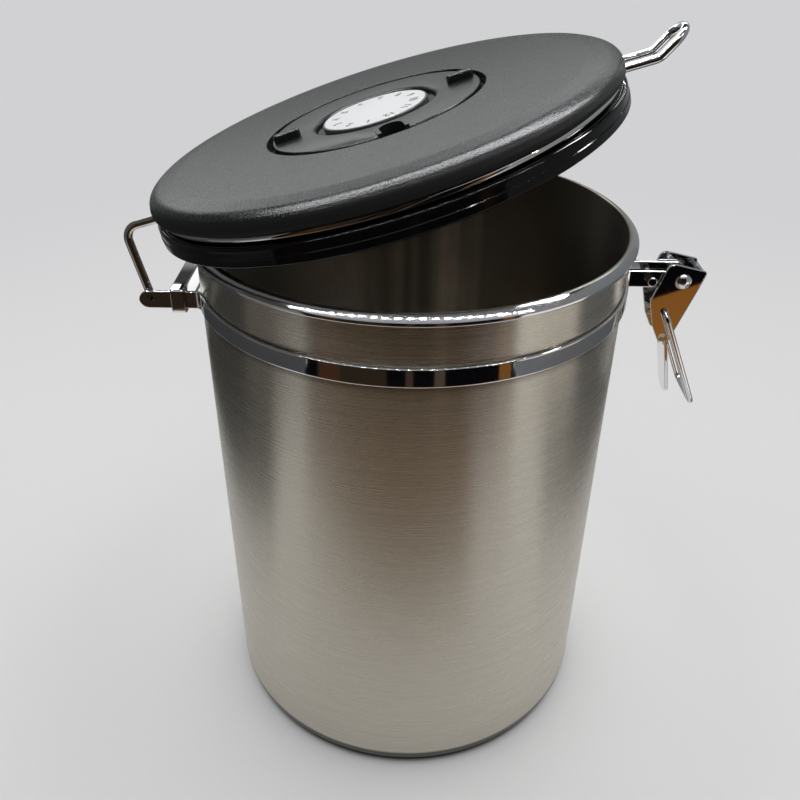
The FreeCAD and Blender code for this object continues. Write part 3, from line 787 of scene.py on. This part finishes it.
# %% Cut and fold the lever
cheek_middle_y, cheek_soften = 4.8, 0.14
cheek_corners = [(-4.4, 5.4, 2.2), (6.4, 2.9, 0.6), (0.4, -15.4, 1.5), (-1.6, -19.6, 1.0),
                 (-4.0, -19.2, 1.2), (-6.2, -14.6, 3.0), (-8.2, -6.4, 3.0)]
cheek_outline = rounded([(Vector((x, z, 0)), bend) for x, z, bend in cheek_corners], closed=True)
cheek_holes = [(-3.6, -9.75, 0.97), (-3.0, -17.6, 0.8)]
upright = Matrix(((1, 0, 0, 0), (0, 0, 1, 0), (0, 1, 0, 0), (0, 0, 0, 1)))
lever_meshes = []
for side in (-1, 1):
    place = Matrix.Translation((latch_x * MM, side * cheek_middle_y * MM, strap_z * MM)) @ upright
    lever_meshes.append(cheek("lever_cheek", cheek_outline, cheek_holes, cheek_soften, place))

back_half, tab_half, tab_round, tab_starts, tip_half = 5.28, 4.6, 3.6, -15.5, 1.0
back_line = rounded([(Vector((5.9, 2.2, 0)), 0), (Vector((-0.1, -15.4, 0)), 5.0),
                     (Vector((-1.2, -20.0, 0)), 8.0), (Vector((2.2, -38.3, 0)), 0)])
tab_tip = back_line[-1]
tab_way = (back_line[-2] - tab_tip).normalized()
back_line = back_line[:-1] + [tab_tip + tab_way * d for d, _ in reversed(end_steps(tab_round))]
back_widths = []
for point in back_line:
    to_tip = (tab_tip - point).length
    width = back_half if point.y > tab_starts else tab_half
    if to_tip < tab_round:
        width = tip_half + math.sqrt(max(0.0, tab_round ** 2 - (tab_round - to_tip) ** 2))
    back_widths.append(width)
lever_axes = (Vector((1, 0, 0)), Vector((0, 0, 1)), Vector((0, 1, 0)))
lever_back = ribbon("lever_back", back_line, lever_axes, back_widths, place=latch_place)
lever_meshes.append(lever_back.data)
bpy.data.objects.remove(lever_back)
keep(joined("latch_lever_sheet", lever_meshes, steel_bright), "latch_lever", "latch_lever")

# %% [markdown]
# ## The latch link
# A small loop of wire hangs from the lever. Its ends turn inwards through the cheeks, and its cross bar
# drops over the hook of the lid's wire when the latch is closed.

# %% Bend the link
link_pivot = Vector((73.4, 0.0, 137.0))
link_lean = math.radians(-66.9)
link_way = Vector((math.cos(link_lean), 0.0, math.sin(link_lean)))
link_length, link_radius, link_y, link_stub_y, link_bend = 31.757, 0.9, 7.75, 2.9, 2.0
far_end = link_pivot + link_way * link_length
across = Vector((0.0, 1.0, 0.0))
link_path = rounded([
    (link_pivot - across * link_stub_y, 0),
    (link_pivot - across * link_y, link_bend),
    (far_end - across * link_y, link_bend),
    (far_end + across * link_y, link_bend),
    (link_pivot + across * link_y, link_bend),
    (link_pivot + across * link_stub_y, 0),
])
keep(wire("latch_link_wire", link_path, link_radius), "latch_link", "latch_link")

# %% [markdown]
# ## The lid
# The cover is a shallow matte cap with a round recess for the dials. The base below it is glossy: its
# skirt goes round the rim, a groove above the skirt holds the wire, and a shallow well carries the valve.

# %% Finishes of cover and ring
lid_axis = lid_turn.to_3x3() @ Vector((0, 0, 1))
top_level = (lid_turn @ Vector((0, 0, lid_top * MM))).dot(lid_axis)


def lid_plastic(name, dark, light, grain_per_metre, grain_strength, levels_mm, roughnesses):
    """Grained plastic whose gloss changes between two levels, in millimetres above the lid's top."""
    material, place = start_finish(name)
    grain = noise(place, (grain_per_metre,) * 3)
    patch = noise(place, (25.0,) * 3, detail=3.0)
    low, high = (top_level + level * MM for level in levels_mm)
    gloss = ramp(measure("DOT_PRODUCT", place, lid_axis), low, high, *roughnesses)
    return end_finish(material, {
        "Base Color": blend(grain * 0.6 + patch * 0.4, dark, light),
        "Roughness": gloss + grain * 0.10 - 0.05,
        "Specular IOR Level": 0.2,
        "Normal": bump(grain, 0.05, grain_strength),
    })


cover_grey = lid_plastic("cover_grey", (0.004, 0.0045, 0.0045), (0.009, 0.0095, 0.0095),
                         3600.0, 0.9, (-2.8, -2.1), (0.60, 0.27))
ring_grey = lid_plastic("ring_grey", (0.008, 0.009, 0.009), (0.014, 0.015, 0.015),
                        3600.0, 0.4, (0.1, 0.4), (0.30, 0.18))

# %% Turn the cover and the base
cover_section = [
    (7.05, 168.2, 0), (7.05, 169.7, 0), (29.7, 169.7, 0.2), (29.7, lid_top, 0.3), (55.2, lid_top, 7.0),
    (60.4, 172.25, 5.0), (62.9, 170.9, 2.6), (63.5, 168.74, 1.0), (63.32, 167.7, 0.3), (57.65, 167.7, 0),
    (57.65, 166.2, 0.2), (56.05, 166.2, 0.2), (56.05, 171.1, 0.2), (31.5, 171.1, 0.2), (31.5, 168.2, 0.2),
]
cover = turned("lid_cover_cap", cover_section, cover_grey, steps=320, place=lid_turn)
keep(cover, "lid_cover", "lid")

base_section = [
    (10.05, 154.5, 0), (48.0, 154.5, 2.4), (48.0, 163.6, 0.96), (58.65, 163.6, 0.1), (58.65, 164.3, 0.1),
    (62.45, 164.3, 0.1), (62.45, 160.1, 0.3), (63.03, 160.1, 0.3), (63.6, 160.58, 0.3), (63.6, 162.4, 0.08),
    (63.4, 162.6, 0.08), (63.4, 165.1, 0.9), (59.65, 165.1, 0.1), (59.65, 167.7, 0.1), (57.75, 167.7, 0.1),
    (57.75, 165.1, 0.1), (46.4, 165.1, 0.2), (46.4, 156.0, 1.44), (10.05, 156.0, 0),
]
base = turned("lid_base_skirt", base_section, base_black, steps=320, place=lid_turn)
keep(base, "lid_base", "lid")

# %% [markdown]
# ## The date ring and its hub
# These CAD shapes are already right, down to the grips and the window, so a copy of each is taken with
# its loose triangles merged, which lets the rounded edges shade smoothly.


# %% Smooth copies of CAD nodes
def smooth_copy(node_name, name, finish):
    mesh = nodes[node_name].data.copy()
    mesh.name = name
    mend(mesh, merge=2e-6, outwards=False)
    if mesh.has_custom_normals:
        mesh.attributes.remove(mesh.attributes["custom_normal"])
    for face in mesh.polygons:
        face.material_index = 0
    shade(mesh, 32)
    mesh.materials.clear()
    mesh.materials.append(finish)
    return keep(add_object(name, mesh), node_name, nodes[node_name]["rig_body"])


smooth_copy("date_ring", "date_ring_disc", ring_grey)
smooth_copy("dial_hub", "dial_hub_flange", base_black)
smooth_copy("month_dial", "month_dial_disc", knob_grey)

# %% [markdown]
# ## Numbers on the month dial
# A white label lies on the grey knob, and twelve numbers stand round it, each with its foot towards the
# middle. Text is drawn flat, made a mesh, and then laid on the dial, so its place is in the mesh as for
# every other piece.

# %% Lay the label
label_radius, label_top = 13.7, lid_top + 0.03
label_section = [(0.0, lid_top, 0), (label_radius, lid_top, 0),
                 (label_radius, label_top, 0), (0.0, label_top, 0)]
label = turned("month_label", label_section, dial_white, closed=False, steps=128, place=lid_turn)
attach(label, "month_dial")
print(label.name, len(label.data.vertices), "points")


# %% Print the numbers
number_size, number_circle, print_half, print_swell = 3.1, 10.6, 0.015, 0.12


def number_mesh(text, azimuth, height):
    """A flat printed number on a circle about the lid's axis, foot inwards."""
    curve = bpy.data.curves.new("number", "FONT")
    curve.body = text
    curve.size = number_size * MM
    curve.align_x = curve.align_y = "CENTER"
    curve.extrude = print_half * MM
    curve.offset = print_swell * MM
    mesh = baked(add_object("number", curve))
    angle = math.radians(azimuth)
    spot = Vector((number_circle * math.cos(angle), number_circle * math.sin(angle), height)) * MM
    mesh.transform(lid_turn @ Matrix.Translation(spot) @ Matrix.Rotation(angle - math.pi / 2, 4, "Z"))
    return mesh


twelve_at, month_step = -66, 30
month_meshes = [number_mesh(str(month), twelve_at - month_step * (month % 12), label_top + print_half)
                for month in range(1, 13)]
month_numbers = joined("month_numbers", month_meshes, print_grey)
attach(month_numbers, "month_dial")
print("month numbers", len(month_numbers.data.polygons), "faces")

# %% [markdown]
# ## The pieces inside
# The valve, the gasket and the screws show only when the lid is raised. Their CAD shapes stay as they are
# and get their finishes.

# %% Finish the inner nodes
inner_finish = {
    "cover_screws": steel_brushed, "dial_washer": steel_brushed, "dial_screw": steel_brushed,
    "lid_gasket": silicone, "valve_disc": silicone, "valve_seat": base_black,
    "valve_cap": base_black, "valve_filter": felt,
}
for node_name, finish in inner_finish.items():
    nodes[node_name].data.materials.clear()
    nodes[node_name].data.materials.append(finish)
print("inner nodes", sorted(inner_finish))

# %% [markdown]
# ## Floor and light
# The canister stands on pale paper under soft light, which is enough for matt surfaces. Steel and gloss show
# what stands around them, so cards that only reflections see give them walls, a roof and a dim room in front.
# One picture of a room could do the same, but a card can be moved until its own reflection sits right.


# %% Floor
def stage_mesh(name, corners, material, faces=((0, 1, 2, 3),), hidden=True):
    """A sheet that is not part of the object; a hidden one is seen only by reflections."""
    mesh = bpy.data.meshes.new(name)
    mesh.from_pydata(corners, [], faces)
    mesh.materials.append(material)
    sheet = add_object(name, mesh)
    if hidden:
        for ray in ("camera", "diffuse", "transmission", "shadow", "volume_scatter"):
            setattr(sheet, "visible_" + ray, False)
    print("stage", name, len(faces), "faces")


def floor_paper():
    material, place = start_finish("floor_paper")
    cloud = noise(place, (3.0, 3.0, 3.0), detail=3.0)
    distance = measure("LENGTH", place)
    # Painted shade: the paper darkens from 0.1 m to 0.6 m away from the canister.
    painted_shade_far = ramp(distance, 0.1, 0.6, soft=True)
    near_paper = blend(cloud, (0.72, 0.712, 0.712), (0.78, 0.772, 0.772))
    # Painted light: the paper is lighter within about 0.13 m of the canister's axis.
    painted_light_close = ramp(distance, 0.062, 0.130, 1.0, 0.0, soft=True)
    near_paper = blend(painted_light_close, near_paper, (0.84, 0.834, 0.834))
    # Painted contact shadow: the paper is nearly black under the canister's foot and just round it.
    painted_contact_shadow = ramp(distance, 0.0570, 0.0590, 1.0, 0.0, soft=True)
    near_paper = blend(painted_contact_shadow, near_paper, (0.06, 0.06, 0.055))
    return end_finish(material, {
        "Base Color": blend(painted_shade_far, near_paper, (0.65, 0.645, 0.655)),
        "Roughness": 0.6,
        "Specular IOR Level": 0.0,
    })


reach = 6.0
stage_mesh("floor", [(x * reach, y * reach, 0) for x, y in quarters], floor_paper(), hidden=False)


# %% Two kinds of card
side_x, front_y, middle_y, back_y, roof_z = 0.231, -0.20, -0.03, 0.20, 0.37
to_right, to_back, to_top = (1.0, 0.0, 0.0), (0.0, 1.0, 0.0), (0.0, 0.0, 1.0)
white, cool_white = (1.0, 1.0, 1.0), (0.97, 0.98, 1.0)


def end_glow(material, colour, strength=1.0):
    """Close a material that shines by itself."""
    glow = colour.writer.node("ShaderNodeEmission", None, {"Color": colour, "Strength": strength})
    colour.writer.node("ShaderNodeOutputMaterial", None, {"Surface": glow})
    return material


def glow_card(name, corners, colour, way, ends, strengths):
    """Card that shines from one strength to another along a direction, seen only by reflections."""
    material, place = start_finish(name + "_glow")
    share = ramp(measure("DOT_PRODUCT", place, way), *ends, soft=True)
    levels = [[channel * strength for channel in colour] for strength in strengths]
    end_glow(material, blend(share, *levels))
    stage_mesh(name, corners, material)


def upright_card(name, start, end, colour, ends, strengths, slant=0.0):
    """Glowing card that stands on a line of the floor and is brighter or darker towards its top."""
    corners = [(*start, 0.0), (*end, 0.0), (*end, roof_z), (*start, roof_z)]
    glow_card(name, corners, colour, (slant, 0.0, 1.0), ends, strengths)


def level_card(name, half_x, y_ends, z, colour, way, ends, strengths):
    """Glowing card that lies level, as a roof does."""
    front, back = y_ends
    corners = [(-half_x, front, z), (half_x, front, z), (half_x, back, z), (-half_x, back, z)]
    glow_card(name, corners, colour, way, ends, strengths)


# %% Back wall and side walls
upright_card("back_wall", (-side_x, back_y), (side_x, back_y), (0.97, 1.0, 1.0),
             (0.23, 0.33), (0.28, 3.2), slant=-0.3)
top_y, top_z = back_y - 0.002, 0.45
wall_top = [(-side_x, top_y, 0.271), (side_x, top_y, 0.409), (side_x, top_y, top_z), (-side_x, top_y, top_z)]
glow_card("wall_top", wall_top, white, to_right, (-side_x, side_x), (0.05, 0.07))

# Name, side, ends along Y, colour, heights between which the card changes, and its strengths there.
side_walls = [
    ("left_rear", -1, (middle_y, back_y), (0.93, 0.97, 1.0), (0.03, 0.30), (0.055, 0.12)),
    ("left_front", -1, (front_y, middle_y), (1.0, 0.96, 0.90), (0.05, 0.12), (0.28, 0.07)),
    ("right_rear", 1, (middle_y, back_y), (0.93, 0.98, 1.0), (0.03, 0.30), (0.17, 0.26)),
    ("right_front", 1, (front_y, middle_y), (1.0, 0.97, 0.93), (0.05, 0.14), (1.30, 0.25)),
]
for name, side, (near_end, far_end), colour, heights, strengths in side_walls:
    upright_card(name, (side * side_x, near_end), (side * side_x, far_end), colour, heights, strengths)

# %% Edges of the floor and posts
strip_y, strip_z, strip_inner = -0.07, 0.001, 0.155
for side, level in ((-1, 0.055), (1, 0.13)):
    x, inner = side * (side_x - 0.001), side * strip_inner
    foot = [(x, front_y, 0.0), (x, back_y, 0.0), (x, back_y, 0.10), (x, front_y, 0.02)]
    glow_card("foot", foot, (0.95, 0.97, 1.0), to_back, (front_y, 0.1), (level * 1.2, level * 0.8))
    strip = [(x, strip_y, strip_z), (x, back_y, strip_z), (inner, back_y, strip_z), (inner, strip_y, strip_z)]
    glow_card("floor_strip", strip, (1.0, 0.97, 0.92), to_back, (strip_y, 0.1), (level * 1.6, level))
for side in (-1, 1):
    upright_card("post", (side * side_x, front_y - 0.004), (side * side_x, front_y + 0.001),
                 (1.0, 0.98, 0.95), (0.0, 0.3), (0.45, 0.6))

# %% Roof, and two small cards beside the latch and the hinge
lamp_z, fore_z = roof_z - 0.004, roof_z - 0.002
level_card("roof", side_x, (front_y, back_y), roof_z, white, to_back, (-0.1, 0.1), (0.20, 0.05))
level_card("roof_front", side_x, (-0.245, -0.117), fore_z, cool_white, to_back, (-0.24, -0.12), (0.32, 0.60))
level_card("roof_lamp", 0.2, (0.015, 0.045), lamp_z, cool_white, to_right, (-0.2, 0.2), (50.0, 54.0))
table_glow = [(0.078, -0.045, 0.10), (0.100, -0.045, 0.10), (0.100, -0.045, 0.1294), (0.078, -0.045, 0.1208)]
glow_card("table_glow", table_glow, (1.0, 0.40, 0.08), to_top, (0.09, 0.125), (0.32, 0.24))
hinge_shade = [(-0.077, 0.0, 0.151), (-0.0625, 0.0, 0.151), (-0.0625, 0.0, 0.1625), (-0.077, 0.0, 0.1625)]
glow_card("hinge_shade", hinge_shade, cool_white, to_top, (0.152, 0.157), (0.35, 0.05))

# %% [markdown]
# ## The room in front
# One bent sheet stands for a brown table in front and the dim room behind it. Its bands are drawn by bearing,
# the angle seen from the canister's axis, because a round body spreads what it reflects by that angle. Near
# the canister the sheet is clear, so the floor shows.


# %% The table and the dim room in front
def dim_room():
    """A strip of brown table, and behind it a dark room with a few dull upright bands."""
    material, place = start_finish("dim_room")
    writer = place.writer
    spot = writer.node("ShaderNodeSeparateXYZ", None, {0: place})
    ahead_of = 0 - spot.other("Y")
    bearing = spot.maths("ARCTAN2", spot, ahead_of)
    colour = (0.002, 0.002, 0.003)
    bands = [(-0.47, 0.28, (0.024, 0.017, 0.011)), (-0.65, 0.08, (0.050, 0.022, 0.012)),
             (-0.005, 0.022, (0.047, 0.030, 0.022)), (0.235, 0.035, (0.068, 0.050, 0.036)),
             (0.775, 0.045, (0.180, 0.076, 0.020))]
    band_edge = 0.012
    for middle, half_width, tone in bands:
        off = (bearing - middle).size()
        there = ramp(off, half_width, half_width + band_edge, 1.0, 0.0)
        colour = blend(there, colour, tone)
    grain = noise(place, (4.0, 60.0, 4.0), detail=3.0)
    wood = blend(grain, (0.13, 0.08, 0.036), (0.24, 0.155, 0.076))
    wood = blend(ramp(spot, 0.06, 0.14), wood, (0.25, 0.11, 0.024))
    table = ramp(measure("LENGTH", place), 0.262, 0.284, 1.0, 0.0)
    glow = writer.node("ShaderNodeEmission", None, {"Color": blend(table, colour, wood)})
    outside = ramp(ahead_of, 0.184, 0.190)
    near = ramp(ahead_of, 0.125, 0.165)
    within = ramp((bearing + 0.19).size(), 0.65, 0.79, 1.0, 0.0)
    share = outside.at_least(near * within)
    clear = writer.node("ShaderNodeBsdfTransparent")
    mixed = writer.node("ShaderNodeMixShader", None, {0: share, 1: clear, 2: glow})
    writer.node("ShaderNodeOutputMaterial", None, {"Surface": mixed})
    return material


near_y, far_y, wide, tall, lift = -0.12, -0.95, 2.0, 0.9, 0.0008
room_corners = [(-wide, near_y, lift), (wide, near_y, lift), (wide, far_y, lift), (-wide, far_y, lift),
                (wide, far_y, tall), (-wide, far_y, tall)]
stage_mesh("front_room", room_corners, dim_room(), [(0, 1, 2, 3), (3, 2, 4, 5)])

# %% [markdown]
# ## Small lamps
# A row of small lamps under the roof gives the rim its chain of bright dots. They are squares in one mesh,
# seen only by reflections, because real lights would brighten the floor as well.


# %% Row of small lamps
def lamp_glow():
    material, place = start_finish("lamp_glow")
    colour = blend(noise(place, (60.0, 60.0, 60.0)), (0.95, 0.97, 1.0), white)
    return end_glow(material, colour, 140.0)


lamp_corners, lamp_faces = [], []
lamp_count, lamp_step, lamp_half, lamp_y = 27, 0.01667, 0.0025, -0.11
for number in range(lamp_count):
    x = (number - (lamp_count - 1) / 2) * lamp_step
    first = len(lamp_corners)
    for across, along in quarters:
        lamp_corners.append((x + across * lamp_half, lamp_y + along * lamp_half, lamp_z))
    lamp_faces.append((first, first + 3, first + 2, first + 1))
stage_mesh("lamp_strip", lamp_corners, lamp_glow(), lamp_faces)

# %% [markdown]
# ## Sky and soft sun
# The sky is pale all round and darker low in front, and the camera itself sees one even pale tone. A wide sun
# from above gives the soft shadow on the floor.

# %% Sky and sun
world = bpy.data.worlds.new("studio")
bpy.context.scene.world = world
world.use_nodes = True
world.node_tree.nodes.clear()
sky = NodeWriter(world.node_tree)
way = sky.node("ShaderNodeTexCoord", take="Generated")
way_parts = sky.node("ShaderNodeSeparateXYZ", None, {0: way})
frontal = ramp(0 - way_parts.other("Y"), 0.15, 0.70, soft=True)
low = ramp(way_parts.other("Z"), 0.75, 0.35, soft=True)
seen = sky.node("ShaderNodeLightPath", take="Is Camera Ray")
dim = frontal * low * (1 - seen.other("Is Diffuse Ray") * 0.6)
studio_colour = blend(dim, (0.93, 0.94, 0.95), (0.045, 0.036, 0.028))
shown_colour = blend(seen, studio_colour, (0.9, 0.9, 0.9))
sky_glow = sky.node("ShaderNodeBackground", None, {"Color": shown_colour, "Strength": 0.72})
sky.node("ShaderNodeOutputWorld", None, {"Surface": sky_glow})

sun = add_object("soft_sun", bpy.data.lights.new("soft_sun", "SUN"))
sun.data.energy = 1.1
sun.data.angle = math.radians(70)
sun.rotation_euler = (math.radians(-14), math.radians(6), 0)
